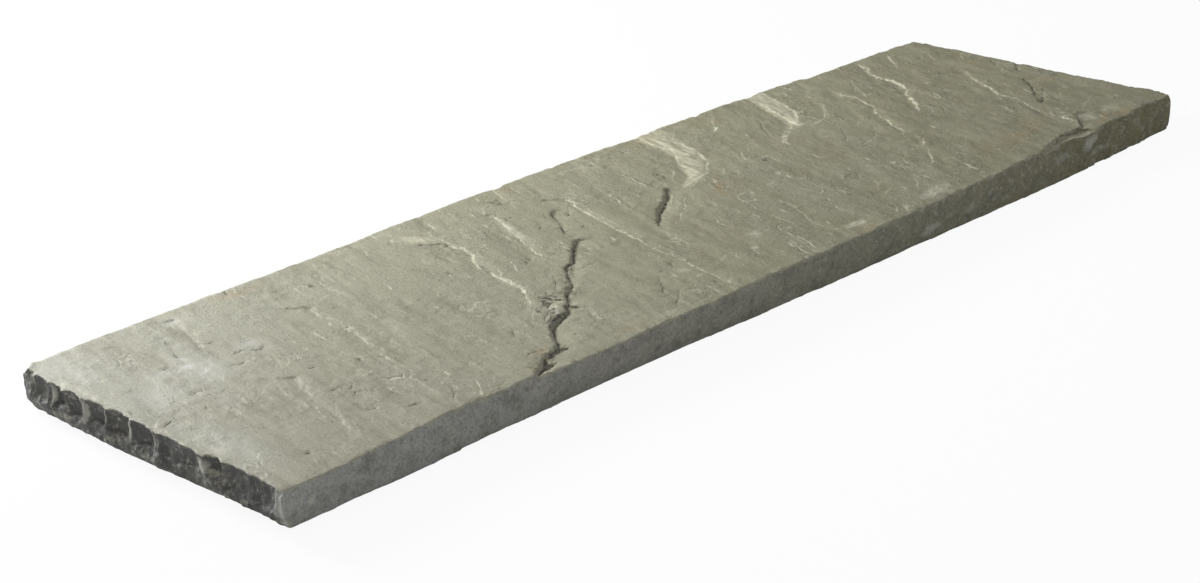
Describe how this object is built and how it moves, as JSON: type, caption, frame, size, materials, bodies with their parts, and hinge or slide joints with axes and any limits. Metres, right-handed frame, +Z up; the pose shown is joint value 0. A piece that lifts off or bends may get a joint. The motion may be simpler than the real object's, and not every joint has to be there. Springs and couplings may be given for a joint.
{
  "type": "stone wall coping",
  "caption": "Flat hand-dressed sandstone coping for the top of a wall, with a riven top, straight worked sides and pitched rock-faced ends.",
  "frame": {"origin": "centre of the piece's footprint, on the level of the bed face it lies on", "axes": "+X along the length, away from the pitched end in the picture, +Y across the width to the far long side, +Z up through the riven top"},
  "size_m": [1.0067, 0.2926, 0.032],
  "materials": {
    "coping_stone": "riven, matt"
  },
  "bodies": {
    "root": {"coping_stone": "coping_stone"}
  },
  "joints": []
}
